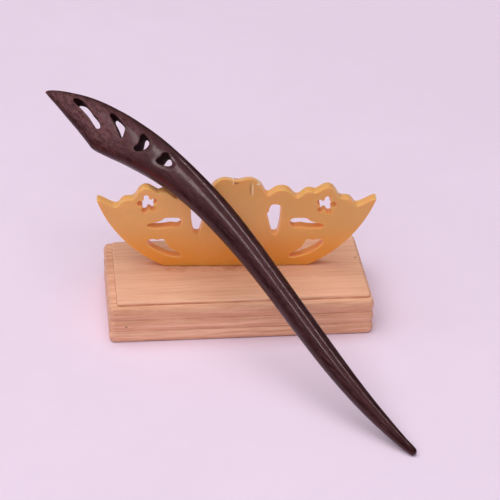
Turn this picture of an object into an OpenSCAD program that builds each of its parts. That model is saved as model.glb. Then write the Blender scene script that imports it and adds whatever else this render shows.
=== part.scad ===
// Carved wooden hair stick resting on a stand, a wooden block that carries
// an upright resin plate.
// X runs along the block, Y away from the viewer and Z up, in millimetres.
// The origin is the centre of the underside of the block, and the tip of
// the stick lies on the same table as the block.

/* [Stand block] */
// Length of the block from left to right
block_w = 85.5; // [75:0.5:110]
// Depth of the block from front to back
block_d = 43.8; // [36:0.2:60]
// Height of the block
block_h = 13.3; // [11:0.1:18]
// Height of the raised field on top of the block
field_h = 1.1; // [0.6:0.1:2]
// Distance from the edge of the block to the raised field
field_inset = 2; // [1.2:0.1:3]
// Number of rounded ribs around the block
rib_count = 3; // [2:1:4]
// How far each rib stands out from its grooves
rib_bulge = 0.6; // [0.3:0.05:0.9]
// Size of the cut at each upright corner of the block
corner_cut = 0.8; // [0.3:0.1:2]

/* [Stand plate] */
// Width of the upright plate from tip to tip
plate_w = 91; // [80:1:105]
// Thickness of the upright plate
plate_t = 4; // [3:0.1:6]
// Distance of the plate's front face behind the middle of the block
plate_y = 1.7; // [-6:0.1:8]
// Turn of the plate on the block, in degrees
plate_turn = -3.1; // [-6:0.1:6]
// Turn of the five lobed openings, in degrees
star_turn = -11; // [-30:1:30]

/* [Hair stick] */
// Length of the stick from end to end
stick_len = 178.4; // [160:0.2:190]
// Width of the stick across its blade
blade_w = 15.7; // [13:0.1:18]
// Thickness of the stick at its thickest place
stick_t = 7; // [5.5:0.1:8]
// Heading of the stick on the table, in degrees
stick_heading = 128.6; // [120:0.2:135]
// Roll of the stick about its own length, in degrees
stick_roll = -35.4; // [-40:0.2:-30]
// Distance of the tip to the right of the middle of the block
tip_x = 43.8; // [35:0.1:50]
// Distance of the tip in front of the middle of the block
tip_y = 88.9; // [80:0.1:95]
// Clearance between the stick and the edge that it leans on
lean_gap = 0.2; // [0.1:0.05:0.6]

/* [Hidden] */

// How far the raised field sits to the right of the middle and behind it
field_shift = [0.8, 0.5];

// Clearance between the plate and the block under it
seat_gap = 0.1;

// Height of one rib, and the radius of the arc that gives it its bulge
rib_h = (block_h - field_h) / rib_count;
rib_r = (rib_h * rib_h / 4 + rib_bulge * rib_bulge) / (2 * rib_bulge);

// The plate is drawn for a width of 91 and scaled
plate_k = plate_w / 91;

// Wavy top edge of the plate, from its middle to its tip
// columns: distance from the middle, height above the block
top_edge = [
    [0, 31.1],
    [0.8, 31.15],
    [1.5, 31.35],
    [2.2, 31.55],
    [3, 31.7],
    [3.8, 31.8],
    [4.6, 31.75],
    [5.4, 31.5],
    [6.1, 31.1],
    [6.8, 30.5],
    [7.5, 29.75],
    [8.2, 28.65],
    [8.8, 27.35],
    [9.3, 26.45],
    [9.8, 26.15],
    [10.5, 26.2],
    [11.2, 26.8],
    [12, 27.45],
    [12.8, 27.9],
    [13.6, 28.15],
    [14.4, 28.22],
    [15.2, 28.2],
    [15.9, 28.02],
    [16.6, 27.65],
    [17.3, 27.1],
    [18, 26.35],
    [18.6, 25.6],
    [19.1, 25.28],
    [19.6, 25.22],
    [20.3, 25.5],
    [21, 26.12],
    [21.8, 26.85],
    [22.5, 27.32],
    [23.2, 27.5],
    [24, 27.5],
    [24.7, 27.3],
    [25.4, 26.95],
    [25.8, 27.2],
    [26.3, 27.55],
    [27, 27.95],
    [27.8, 28.52],
    [28.5, 28.87],
    [29.3, 29],
    [30, 28.92],
    [30.8, 28.58],
    [31.5, 28],
    [32.2, 27.05],
    [32.8, 25.85],
    [33.3, 25.1],
    [33.9, 24.8],
    [35.2, 24.72],
    [36.4, 24.6],
    [37, 24.25],
    [37.6, 23.55],
    [38.2, 22.65],
    [38.7, 22.22],
    [39.3, 22.15],
    [40.2, 22.45],
    [41.5, 23.12],
    [42.8, 23.87],
    [44, 24.5],
    [44.8, 24.78],
    [45.4, 24.72]
];

// Openings in the right half of the plate, as corners of a smooth loop
// columns: distance from the middle, height above the block
cloud_rim = [
    [28.75, 14.95],
    [28.35, 15.5],
    [27.1, 15.9],
    [25.5, 16.3],
    [24.2, 16.85],
    [23.3, 17.55],
    [22.5, 17.82],
    [20.6, 17.88],
    [18.7, 17.75],
    [17.9, 17.1],
    [17.6, 16.2],
    [17.8, 15.3],
    [18.4, 14.75],
    [19.3, 14.4],
    [20.3, 14.52],
    [21.4, 14.62],
    [22.7, 14.35],
    [24.5, 14.15],
    [26, 14.12],
    [27.4, 14.25],
    [28.45, 14.5]
];
leaf_rim = [
    [12.95, 22.95],
    [14.15, 22.6],
    [14.65, 21.9],
    [14.6, 20.1],
    [14.5, 17.4],
    [14.25, 15.2],
    [13.9, 13.1],
    [13.5, 12.1],
    [12.9, 11.75],
    [12.15, 11.8],
    [11.75, 12.5],
    [11.3, 14.2],
    [10.7, 16.65],
    [10.15, 18.4],
    [9.6, 19.05],
    [10.05, 19.6],
    [10.7, 20.35],
    [11, 21.7],
    [11.6, 22.75]
];
crescent_rim = [
    [28.75, 8.9],
    [28.3, 9.6],
    [27.4, 9.9],
    [26.5, 9.88],
    [25.55, 9.65],
    [24.6, 9.85],
    [23.8, 9.95],
    [23.2, 9.65],
    [22.8, 8.8],
    [22.3, 7.9],
    [21.5, 6.75],
    [20.4, 5.9],
    [19.3, 5.25],
    [18.3, 4.6],
    [17.9, 3.95],
    [18.1, 3.45],
    [18.8, 3.3],
    [20.2, 3.42],
    [22.1, 3.98],
    [23.8, 4.7],
    [25.5, 5.65],
    [27, 6.7],
    [28.2, 7.85]
];
// The openings sit further in and lower on the right half than on the left
// columns: half of the shift across, half of the shift in height
rim_shift = [0.3, 0.16];
star_shift = [0, 0.35];

// Sections of the stick from its tip to the point of its blade
// columns: distance along, right edge, left edge, thickness as a share
stick_rows = [
    [-1.2, -0.2, 0.4, 0.12],
    [-0.8, -0.85, 0.95, 0.24],
    [0, -1.2, 1.3, 0.33],
    [4, -1.4, 1.8, 0.43],
    [10, -1.95, 2.2, 0.54],
    [20, -3.05, 2.3, 0.7],
    [30, -4.5, 1.8, 0.81],
    [40, -6.15, 0.85, 0.88],
    [55, -8.75, -1.2, 0.96],
    [70, -11.35, -3.45, 1],
    [85, -13.9, -5.2, 1],
    [100, -15.85, -6.15, 1],
    [112, -16.6, -6.1, 0.97],
    [124, -16.75, -4.8, 0.93],
    [136, -16.2, -2, 0.89],
    [146, -14.8, 1.05, 0.86],
    [149.5, -14.1, 1.9, 0.85],
    [152, -13.5, 1.65, 0.84],
    [158, -11.85, 0.95, 0.8],
    [164, -9.6, 0.45, 0.74],
    [170, -6.45, -0.1, 0.62],
    [174, -3.95, -0.35, 0.48],
    [176.4, -2, -0.55, 0.3],
    [177.2, -1, -0.6, 0.14]
];

// Outlines of the openings in the blade, as corners of a smooth loop
// columns: distance along, distance across
long_slot = [
    [165.6, -5.3],
    [163.8, -4.9],
    [161.9, -4.8],
    [159.8, -4.7],
    [157.5, -4.5],
    [155.4, -4.1],
    [153.4, -3.6],
    [152, -3.7],
    [151.6, -4.6],
    [152.9, -5.4],
    [154.9, -5.9],
    [157.1, -6.2],
    [159.3, -6.4],
    [161.4, -6.8],
    [163.5, -6.8],
    [165, -6.1]
];
leaf_slot = [
    [151.3, -9.6],
    [149.6, -9.1],
    [147.9, -8.5],
    [146.2, -7.8],
    [144.5, -7.2],
    [143.3, -6.8],
    [143.5, -7.7],
    [144.4, -9.2],
    [145.5, -10.3],
    [147, -10.6],
    [148.8, -10.9],
    [150.5, -10.9],
    [151.9, -10.7],
    [152.1, -10.1]
];
bean_slot = [
    [139.2, -12.4],
    [138.9, -11.7],
    [138.1, -10.7],
    [137.5, -9.7],
    [137.4, -8.8],
    [137.5, -7.8],
    [137.3, -7.3],
    [136.6, -7.1],
    [135.8, -7.5],
    [135, -8.3],
    [134.5, -9.3],
    [134.3, -10.3],
    [134.5, -11.3],
    [135, -12],
    [135.9, -12.5],
    [137.1, -12.8],
    [138.4, -12.9],
    [139.1, -12.9]
];
half_slot = [
    [128.6, -12.5],
    [128.3, -11.3],
    [128.4, -10.2],
    [128.3, -9.5],
    [127.6, -9.3],
    [126.5, -9.6],
    [125.2, -10.1],
    [124.1, -10.7],
    [123.5, -11.5],
    [123.6, -12.1],
    [124.3, -12.6],
    [125.6, -13],
    [126.8, -13.4],
    [127.7, -13.7],
    [128.4, -13.2]
];
blade_slots = [long_slot, leaf_slot, bean_slot, half_slot];

// The stick is drawn 178.4 long and 15.7 wide and scaled each way
along_k = stick_len / 178.4;
across_k = blade_w / 15.7;

// Height of the middle of the tip above the table
tip_z = 1.2;
// The stick leans on the lobes of the plate, which sets how far it rises
lean_run = (plate_y + tip_y) / sin(stick_heading);
lean_h = block_h + 27.15 * plate_k + lean_gap - tip_z;
stick_rise = atan2(lean_h, lean_run);

ring_n = 20;
loop_n = 3;

// Share of the way from a to b at x, eased at both ends
function ease(x, a, b) =
    let (u = min(1, max(0, (x - a) / (b - a))))
    u * u * (3 - 2 * u);

// Slope of column c at row i of the sections
function row_slope(i, c) =
    let (
        a = max(0, i - 1),
        b = min(len(stick_rows) - 1, i + 1)
    )
    (stick_rows[b][c] - stick_rows[a][c]) / (stick_rows[b][0] - stick_rows[a][0]);

// Value of column c at share u of the way from row i to the next one
function row_value(i, c, u) =
    let (
        d = stick_rows[i + 1][0] - stick_rows[i][0],
        p = stick_rows[i][c],
        q = stick_rows[i + 1][c]
    )
    p * (1 + 2 * u) * (1 - u) * (1 - u) + q * u * u * (3 - 2 * u)
    + d * row_slope(i, c) * u * (1 - u) * (1 - u)
    - d * row_slope(i + 1, c) * u * u * (1 - u);

// Sections between the rows, about 3 mm apart, and the last row
function row_steps(i) = max(1, round((stick_rows[i + 1][0] - stick_rows[i][0]) / 3));
function stations() = concat(
    [
        for (i = [0 : len(stick_rows) - 2])
            for (j = [0 : row_steps(i) - 1])
                let (u = j / row_steps(i))
                [
                    stick_rows[i][0] + u * (stick_rows[i + 1][0] - stick_rows[i][0]),
                    row_value(i, 1, u),
                    row_value(i, 2, u),
                    row_value(i, 3, u)
                ]
    ],
    [stick_rows[len(stick_rows) - 1]]
);

// Signed power, which squares up the corners of a section
function spow(v, e) = sign(v) * pow(abs(v), e);

// Ring of points around one section, oval on the shaft, squarer on the blade
function ring(s) =
    let (
        e = 2 / (2.1 + 1.1 * ease(s[0], 95, 135)),
        mid = (s[1] + s[2]) / 2 * across_k,
        half = (s[2] - s[1]) / 2 * across_k
    )
    [
        for (k = [0 : ring_n - 1])
            let (a = 360 * (k + 0.5) / ring_n)
            [
                s[0] * along_k,
                mid + half * spow(cos(a), e),
                s[3] * stick_t / 2 * spow(sin(a), e)
            ]
    ];

// Smooth closed loop through the corners of an opening
function loop_point(p, i, u) =
    let (
        n = len(p),
        a = p[(i + n - 1) % n],
        b = p[i],
        c = p[(i + 1) % n],
        d = p[(i + 2) % n]
    )
    b + (c - a) * u / 2
    + (2 * a - 5 * b + 4 * c - d) * u * u / 2
    + (3 * b - a - 3 * c + d) * u * u * u / 2;
function smooth_loop(p) = [
    for (i = [0 : len(p) - 1])
        for (j = [0 : loop_n - 1])
            loop_point(p, i, j / loop_n)
];

// Side view of the block for a length w, with its ribs and raised field
module block_side(w, shift) {
    rib_top = block_h - field_h;
    intersection() {
        union() {
            translate([rib_r - w / 2, -1])
                square([w - 2 * rib_r, rib_top + 2]);
            for (i = [0 : rib_count - 1])
                for (s = [-1, 1])
                    translate([s * (w / 2 - rib_r), (i + 0.5) * rib_h])
                        circle(r = rib_r, $fn = 64);
        }
        translate([-w / 2 - 1, 0])
            square([w + 2, rib_top]);
    }
    translate([field_inset - w / 2 + shift, rib_top - 0.5])
        square([w - 2 * field_inset, field_h + 0.5]);
}

// Plan of the block with its corners cut
module block_plan() {
    w = block_w / 2 + 1;
    d = block_d / 2 + 1;
    c = corner_cut + 2;
    polygon([
        [w - c, -d],
        [w, c - d],
        [w, d - c],
        [w - c, d],
        [c - w, d],
        [-w, d - c],
        [-w, c - d],
        [c - w, -d]
    ]);
}

module stand_block() {
    color([0.87, 0.68, 0.53])
        intersection() {
            translate([0, block_d, 0])
                rotate([90, 0, 0])
                    linear_extrude(2 * block_d)
                        block_side(block_w, field_shift[0]);
            translate([-block_w, 0, 0])
                rotate([90, 0, 90])
                    linear_extrude(2 * block_w)
                        block_side(block_d, field_shift[1]);
            translate([0, 0, -1])
                linear_extrude(block_h + 2)
                    block_plan();
        }
}

// Five lobed opening
module star_hole() {
    circle(r = 1.95, $fn = 48);
    for (k = [0 : 4])
        rotate(star_turn + 90 + 72 * k)
            translate([2.4, 0])
                circle(r = 0.93, $fn = 32);
}

// Right half of the plate's outline, a little past the middle
module half_outline() {
    intersection() {
        translate([5.4, 38.1])
            circle(r = 42.2, $fn = 128);
        polygon(concat([[47, 0], [-1, 0], [-1, 31.1]], top_edge, [[47, 24.6]]));
    }
}

module plate_outline() {
    difference() {
        for (m = [0, 1])
            mirror([m, 0])
                half_outline();
        for (m = [0, 1])
            mirror([m, 0]) {
                translate([28.95, 22.7] + (2 * m - 1) * star_shift)
                    star_hole();
                translate((2 * m - 1) * rim_shift)
                    for (rim = [cloud_rim, leaf_rim, crescent_rim])
                        polygon(smooth_loop(rim));
            }
    }
}

module stand_plate() {
    color([0.8, 0.55, 0.32])
        translate([0, plate_y, block_h + seat_gap])
            rotate([0, 0, plate_turn])
                translate([0, plate_t, 0])
                    rotate([90, 0, 0])
                        linear_extrude(plate_t)
                            scale(plate_k)
                                plate_outline();
}

// Body of the stick, lying along X with its face up
module stick_body() {
    rows = stations();
    n = len(rows);
    points = [for (s = rows) each ring(s)];
    sides = [
        for (i = [0 : n - 2])
            for (k = [0 : ring_n - 1])
                let (
                    a = i * ring_n + k,
                    b = i * ring_n + (k + 1) % ring_n
                )
                [a, a + ring_n, b + ring_n, b]
    ];
    first = [for (k = [0 : ring_n - 1]) k];
    last = [for (k = [0 : ring_n - 1]) n * ring_n - 1 - k];
    polyhedron(points, concat(sides, [first, last]), convexity = 6);
}

module hair_stick() {
    color([0.2, 0.12, 0.13])
        translate([tip_x, -tip_y, tip_z])
            rotate([0, 0, stick_heading])
                rotate([0, -stick_rise, 0])
                    rotate([stick_roll, 0, 0])
                        difference() {
                            stick_body();
                            for (slot = blade_slots)
                                translate([0, 0, -stick_t])
                                    linear_extrude(2 * stick_t)
                                        scale([along_k, across_k])
                                            polygon(smooth_loop(slot));
                        }
}

stand_block();
stand_plate();
hair_stick();
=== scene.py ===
"""Dressed model of a carved hair stick that leans on a two piece stand.

Sizes are millimetres in the frame of the solids: X runs along the block, Y
away from the viewer and Z up, with the origin under the middle of the block.
A mesh is written in metres.
"""

import logging
import math
from dataclasses import dataclass, field
from enum import Enum

import bpy
import numpy as np
from mathutils import Matrix, Vector
from mathutils.geometry import delaunay_2d_cdt


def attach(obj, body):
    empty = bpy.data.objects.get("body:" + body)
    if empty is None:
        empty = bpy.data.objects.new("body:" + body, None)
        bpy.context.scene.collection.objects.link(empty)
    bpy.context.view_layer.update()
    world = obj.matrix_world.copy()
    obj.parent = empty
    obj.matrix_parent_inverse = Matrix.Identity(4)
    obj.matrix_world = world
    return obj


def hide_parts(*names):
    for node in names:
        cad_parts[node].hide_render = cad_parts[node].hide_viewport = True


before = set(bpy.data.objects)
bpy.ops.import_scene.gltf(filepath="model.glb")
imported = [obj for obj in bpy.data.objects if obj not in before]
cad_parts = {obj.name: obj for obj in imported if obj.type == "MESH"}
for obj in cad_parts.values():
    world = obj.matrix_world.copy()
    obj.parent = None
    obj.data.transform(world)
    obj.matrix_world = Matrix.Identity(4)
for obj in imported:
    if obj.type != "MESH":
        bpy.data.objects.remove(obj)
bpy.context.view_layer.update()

MM = 0.001
Array = np.ndarray
Rgb = tuple[float, float, float]
log = logging.getLogger("hair_stick")


# ---------------------------------------------------------------- mesh tools


def mesh_object(name: str, points: Array, faces: list[list[int]]) -> bpy.types.Object:
    """Make a smoothly shaded object at the origin from points in millimetres.

    Args:
        name: name of the piece.
        points: one row of x, y and z for each vertex.
        faces: vertex numbers of each face, counter-clockwise from outside.

    Returns:
        The new object, linked to the scene.
    """
    mesh = bpy.data.meshes.new(name)
    mesh.from_pydata((points * MM).tolist(), [], faces)
    mesh.polygons.foreach_set("use_smooth", np.ones(len(mesh.polygons), bool))
    mesh.update()
    thing = bpy.data.objects.new(name, mesh)
    bpy.context.scene.collection.objects.link(thing)
    return thing


def write_attribute(piece: bpy.types.Object, name: str, values: Array) -> None:
    """Store a number or a vector for each vertex, under a name that a finish reads.

    Args:
        piece: the object.
        name: name of the attribute.
        values: one number, or one row of three, for each vertex.
    """
    kind, key = ("FLOAT_VECTOR", "vector") if values.ndim == 2 else ("FLOAT", "value")
    layer = piece.data.attributes.new(name, kind, "POINT")
    layer.data.foreach_set(key, values.astype(np.float32).ravel())


def strip_faces(first: int, second: int, count: int) -> Array:
    """Quads between two closed rings of points.

    Args:
        first: number of the first ring's first point.
        second: number of the second ring's first point.
        count: how many points each ring has.

    Returns:
        One row of four point numbers for each quad.
    """
    a = np.arange(count)
    b = np.roll(a, -1)
    return np.stack([first + a, first + b, second + b, second + a], axis=1)


def weld(points: Array, faces: list[Array], grid: float = 1e-4) -> tuple[Array, list[list[int]], Array]:
    """Join vertices that share a place and drop the faces that this leaves flat.

    Args:
        points: vertices in millimetres.
        faces: arrays of faces, all rows of one array with the same corner count.
        grid: places closer than this, in millimetres, are one.

    Returns:
        The joined vertices, the faces as lists of their numbers, and the
        number that each joined vertex had before.
    """
    keys = np.round(points / grid).astype(np.int64)
    _, keep, where = np.unique(keys, axis=0, return_index=True, return_inverse=True)
    where = where.reshape(-1)
    out: list[list[int]] = []
    for group in faces:
        corners = where[group]
        fresh = corners != np.roll(corners, 1, axis=1)
        whole = fresh.all(axis=1)
        three = ~whole & (fresh.sum(axis=1) == 3)
        out.extend(corners[whole].tolist())
        out.extend(corners[three][fresh[three]].reshape(-1, 3).tolist())
    return points[keep], out, keep


def inside_loops(points: Array, loops: list[Array]) -> Array:
    """Whether each point lies inside an odd number of closed loops.

    A line from the point to the right crosses the sides of the loops an odd
    number of times when the point is inside.

    Args:
        points: one row of x and y for each point.
        loops: closed loops of points.

    Returns:
        A truth value for each point.
    """
    odd = np.zeros(len(points), bool)
    for loop in loops:
        a, b = loop, np.roll(loop, -1, axis=0)
        x, y = points[:, 0][:, None], points[:, 1][:, None]
        spans = (a[:, 1] > y) != (b[:, 1] > y)
        with np.errstate(divide="ignore", invalid="ignore"):
            cross = a[:, 0] + (y - a[:, 1]) / (b[:, 1] - a[:, 1]) * (b[:, 0] - a[:, 0])
        odd ^= (np.count_nonzero(spans & (x < cross), axis=1) % 2).astype(bool)
    return odd


def loop_distance(points: Array, loop: Array) -> Array:
    """Shortest distance from each point to the corners of a loop."""
    gap = points[:, None, :] - loop[None, :, :]
    return np.sqrt((gap ** 2).sum(axis=2).min(axis=1))


def even_loop(loop: Array, step: float, soften: float = 0.0) -> Array:
    """Space a closed loop evenly and round its corners.

    The loop is read at equal lengths along it, and each point then moves to
    the bell weighted mean of its neighbours.

    Args:
        loop: points of the loop.
        step: spacing of the new points in millimetres.
        soften: width of the bell in millimetres.

    Returns:
        The new points.
    """
    closed = np.vstack([loop, loop[:1]])
    run = np.concatenate([[0], np.cumsum(np.hypot(*np.diff(closed, axis=0).T))])
    count = max(12, int(round(run[-1] / step)))
    at = np.linspace(0, run[-1], count, endpoint=False)
    even = np.stack([np.interp(at, run, closed[:, 0]), np.interp(at, run, closed[:, 1])], axis=1)
    if soften > 0:
        turns = np.fft.fftfreq(count, run[-1] / count)
        bell = np.exp(-2 * (math.pi * turns * soften) ** 2)
        even = np.real(np.fft.ifft(np.fft.fft(even, axis=0) * bell[:, None], axis=0))
    return even


def smooth_loop(corners: tuple, step: float, soften: float) -> Array:
    """Smooth closed loop through the corners, evenly spaced and counter-clockwise.

    Between corners b and c it follows the Catmull-Rom cubic, whose slopes are
    those of the lines from a to c and from b to d.

    Args:
        corners: the corners in order.
        step: spacing of the points in millimetres.
        soften: width in millimetres over which the loop is then softened.

    Returns:
        The points of the loop.
    """
    b = np.array(corners, float)
    a, c, d = np.roll(b, 1, 0), np.roll(b, -1, 0), np.roll(b, -2, 0)
    u = np.linspace(0, 1, 24, endpoint=False)[None, :, None]
    a, b, c, d = (p[:, None, :] for p in (a, b, c, d))
    loop = (b + (c - a) * u / 2 + (2 * a - 5 * b + 4 * c - d) * u ** 2 / 2
            + (3 * b - a - 3 * c + d) * u ** 3 / 2).reshape(-1, 2)
    area = np.sum(loop[:, 0] * np.roll(loop[:, 1], -1) - loop[:, 1] * np.roll(loop[:, 0], -1))
    return even_loop(loop if area > 0 else loop[::-1], step, soften)


def loop_normals(loop: Array) -> Array:
    """Unit normals to the right of a loop's direction, which is outward when it runs counter-clockwise.

    Args:
        loop: points of the loop.

    Returns:
        One normal for each point.
    """
    along = np.roll(loop, -1, axis=0) - np.roll(loop, 1, axis=0)
    along /= np.hypot(along[:, 0], along[:, 1])[:, None]
    return np.stack([along[:, 1], -along[:, 0]], axis=1)


def set_in(loop: Array, normal: Array, distance: float) -> Array:
    """Ring at a distance to the left of a loop.

    Each point moves against its normal. Where the ring would cross itself at
    a tight corner, its points lie closer to the loop than the distance, and
    they gather midway between the last good points on both sides.

    Args:
        loop: points of the loop.
        normal: unit normals to the right of the loop.
        distance: how far the ring lies from the loop.

    Returns:
        One point for each point of the loop.
    """
    ring = loop - distance * normal
    if distance <= 0:
        return ring
    good = loop_distance(ring, loop) > distance - 0.004
    count = len(loop)
    order = np.arange(3 * count)
    thrice = np.tile(good, 3)
    before = np.maximum.accumulate(np.where(thrice, order, -1))[count:2 * count] % count
    after = np.minimum.accumulate(np.where(thrice, order, 3 * count)[::-1])[::-1]
    after = after[count:2 * count] % count
    return np.where(good[:, None], ring, (ring[before] + ring[after]) / 2)


def fill_between(rings: list[Array], extra: Array) -> Array:
    """Fill the flat area inside the first ring and outside the others with triangles.

    Args:
        rings: closed rings of points; the first one goes round all the others.
        extra: loose points inside the area that the triangles also use.

    Returns:
        The triangles, as numbers of the rings' points and then of the loose ones.
    """
    points = np.vstack(rings + [extra])
    edges: list[tuple[int, int]] = []
    start = 0
    for ring in rings:
        a = np.arange(len(ring))
        edges.extend(np.stack([start + a, start + np.roll(a, -1)], axis=1).tolist())
        start += len(ring)
    made = delaunay_2d_cdt([Vector(p) for p in points.tolist()], edges, [], 0, 1e-7)
    flat = np.array([tuple(v) for v in made[0]])
    source = np.array([old[0] if old else -1 for old in made[3]])
    tris = np.array([face for face in made[2] if len(face) == 3])
    middles = flat[tris].mean(axis=1)
    tris = source[tris[inside_loops(middles, rings)]]
    p = points[tris]
    turn = np.cross(p[:, 1] - p[:, 0], p[:, 2] - p[:, 0])
    tris[turn < 0] = tris[turn < 0][:, ::-1]
    return tris


def noise_wave(t: Array, seed: int, turns: int, size: float) -> Array:
    """A smooth closed wobble, as a sum of sines with seeded weights and phases.

    Args:
        t: shares of the way round.
        seed: seed of the weights and phases.
        turns: how many waves the finest sine has.
        size: the wobble's greatest height.

    Returns:
        The wobble at each share.
    """
    draw = np.random.default_rng(seed)
    k = np.arange(1, turns + 1)
    phase = draw.uniform(0, 2 * math.pi, turns)
    weight = draw.normal(0, 1, turns) / np.sqrt(k)
    angle = 2 * math.pi * k[:, None] * t.reshape(1, -1) + phase[:, None]
    wave = (weight[:, None] * np.sin(angle)).sum(axis=0)
    return size * (wave / np.abs(wave).max()).reshape(t.shape)


# ------------------------------------------------------------ shader helpers


class Shade:
    """A short way to write one material's or group's nodes.

    Args:
        tree: the node tree to write into.
    """

    def __init__(self, tree: bpy.types.NodeTree) -> None:
        """Keep the tree and clear its nodes."""
        self.tree = tree
        self.tree.nodes.clear()

    def add(self, kind: str, inputs: dict | None = None, **settings: object) -> bpy.types.Node:
        """Add a node, set its properties, and set or link its inputs.

        Args:
            kind: the node's type without the words ShaderNode.
            inputs: a value or an output socket for each input name or number.
            settings: values of the node's own properties.

        Returns:
            The node.
        """
        node = self.tree.nodes.new("ShaderNode" + kind)
        for key, value in settings.items():
            setattr(node, key, value)
        for key, value in (inputs or {}).items():
            self.feed(node.inputs[key], value)
        return node

    def feed(self, socket: bpy.types.NodeSocket, value: object) -> None:
        """Link an output socket to an input, or set the input's own value."""
        if isinstance(value, bpy.types.NodeSocket):
            self.tree.links.new(value, socket)
        else:
            socket.default_value = value

    def math(self, kind: str, a: object, b: object = 0.0, clamp: bool = False) -> bpy.types.NodeSocket:
        """Result of one Math node."""
        return self.add("Math", {0: a, 1: b}, operation=kind, use_clamp=clamp).outputs[0]

    def times(self, first: object, *others: object) -> bpy.types.NodeSocket:
        """Product of two or more values."""
        for other in others:
            first = self.math("MULTIPLY", first, other)
        return first

    def plus(self, first: object, *others: object) -> bpy.types.NodeSocket:
        """Sum of two or more values."""
        for other in others:
            first = self.math("ADD", first, other)
        return first

    def range(self, value: object, low: float, high: float, to_low: float = 0.0,
              to_high: float = 1.0) -> bpy.types.NodeSocket:
        """Carry a value from one range to another, eased at both ends and held beyond them."""
        return self.add("MapRange", {"Value": value, "From Min": low, "From Max": high,
                                     "To Min": to_low, "To Max": to_high},
                        interpolation_type="SMOOTHSTEP", clamp=True).outputs["Result"]

    def range_mm(self, value: object, marks: tuple, to_low: float = 0.0,
                 to_high: float = 1.0) -> bpy.types.NodeSocket:
        """The same for a length, between two marks in millimetres."""
        return self.range(value, marks[0] * MM, marks[1] * MM, to_low, to_high)

    def band(self, value: object, marks: tuple, unit: float = 1.0) -> bpy.types.NodeSocket:
        """Mask that rises between the first two marks and falls between the last two."""
        a, b, c, d = (mark * unit for mark in marks)
        return self.times(self.range(value, a, b), self.range(value, c, d, 1.0, 0.0))

    def mix(self, share: object, a: object, b: object) -> bpy.types.NodeSocket:
        """Mix two colours by a share.

        Args:
            share: how much of the second colour shows.
            a: the first colour, as three numbers or a socket.
            b: the second colour, as three numbers or a socket.

        Returns:
            The mixed colour.
        """
        node = self.add("Mix", data_type="RGBA", clamp_factor=True)
        self.feed(node.inputs[0], share)
        for socket, value in ((node.inputs[6], a), (node.inputs[7], b)):
            self.feed(socket, value if isinstance(value, bpy.types.NodeSocket) else (*value, 1.0))
        return node.outputs[2]

    def scaled(self, at: object, scale: tuple) -> bpy.types.NodeSocket:
        """Scale a place along each axis."""
        return self.add("Mapping", {"Vector": at, "Scale": scale}).outputs[0]

    def noise(self, at: object, scale: object, detail: float, rough: float, warp: float = 0.0,
              along: float = 1.0) -> bpy.types.NodeSocket:
        """Noise value from 0 to 1 at a place.

        Args:
            at: the place.
            scale: how many spots fit in a metre, roughly.
            detail: how many finer layers there are.
            rough: how strong the finer layers are.
            warp: how much the spots are bent.
            along: scale of the place along X; below 1 it draws the spots out.

        Returns:
            The value.
        """
        if along != 1.0:
            at = self.scaled(at, (along, 1.0, 1.0))
        return self.add("TexNoise", {"Vector": at, "Scale": scale, "Detail": detail, "Roughness": rough,
                                     "Distortion": warp}).outputs["Fac"]

    def group(self, tree: bpy.types.NodeTree, inputs: dict) -> bpy.types.NodeOutputs:
        """Outputs of a shared group with its own values."""
        return self.add("Group", inputs, node_tree=tree).outputs

    def surface(self, inputs: dict, bump: tuple | None = None) -> None:
        """Close a material with one Principled shader.

        Args:
            inputs: a value or an output socket for each of its inputs.
            bump: strength, distance in metres and height of the relief, if any.
        """
        if bump:
            relief = self.add("Bump", dict(zip(("Strength", "Distance", "Height"), bump)))
            inputs = inputs | {"Normal": relief.outputs[0]}
        self.add("OutputMaterial", {"Surface": self.add("BsdfPrincipled", inputs).outputs[0]})


def new_material(name: str) -> tuple[bpy.types.Material, Shade]:
    """Start a material with no nodes.

    Args:
        name: name of the material.

    Returns:
        The material and a Shade on its tree.
    """
    material = bpy.data.materials.new(name)
    material.use_nodes = True
    return material, Shade(material.node_tree)


def new_group(name: str, inputs: dict[str, tuple[str, object]], outputs: dict[str, str]) -> tuple:
    """Start a shader node group with named sockets.

    Args:
        name: name of the group.
        inputs: for each input its socket kind and its first value.
        outputs: for each output its socket kind.

    Returns:
        The group, a Shade on it, its input node and its output node.
    """
    tree = bpy.data.node_groups.new(name, "ShaderNodeTree")
    for label, (kind, value) in inputs.items():
        socket = tree.interface.new_socket(name=label, in_out="INPUT", socket_type="NodeSocket" + kind)
        if kind != "Vector":
            socket.default_value = value
    for label, kind in outputs.items():
        tree.interface.new_socket(name=label, in_out="OUTPUT", socket_type="NodeSocket" + kind)
    shade = Shade(tree)
    source = tree.nodes.new("NodeGroupInput")
    sink = tree.nodes.new("NodeGroupOutput")
    return tree, shade, source.outputs, sink.inputs


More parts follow.
